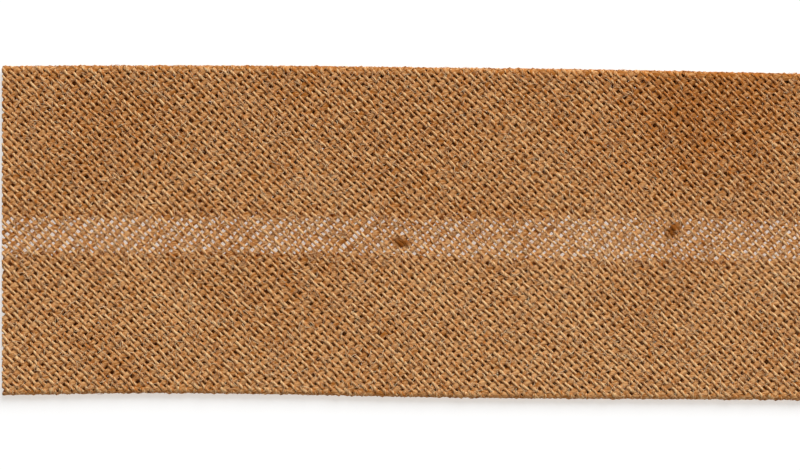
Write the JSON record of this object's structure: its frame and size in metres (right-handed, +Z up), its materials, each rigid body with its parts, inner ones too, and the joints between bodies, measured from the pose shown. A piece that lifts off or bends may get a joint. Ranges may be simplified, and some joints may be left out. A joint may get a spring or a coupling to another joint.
{
  "type": "cut length of bias binding",
  "caption": "Short cut length of single-fold bias binding in tan plain-weave cotton, face up, both long edges turned under and pressed flat.",
  "frame": {"origin": "middle of the strip's box at the surface it lies on", "axes": "+X along the strip, +Y across it towards the far folded edge, +Z up out of the face"},
  "size_m": [0.05, 0.0204, 0.0023],
  "materials": {
    "tan_cotton": "matt woven cotton, cut on the bias"
  },
  "bodies": {
    "root": {"binding_strip": "tan_cotton"}
  },
  "joints": []
}
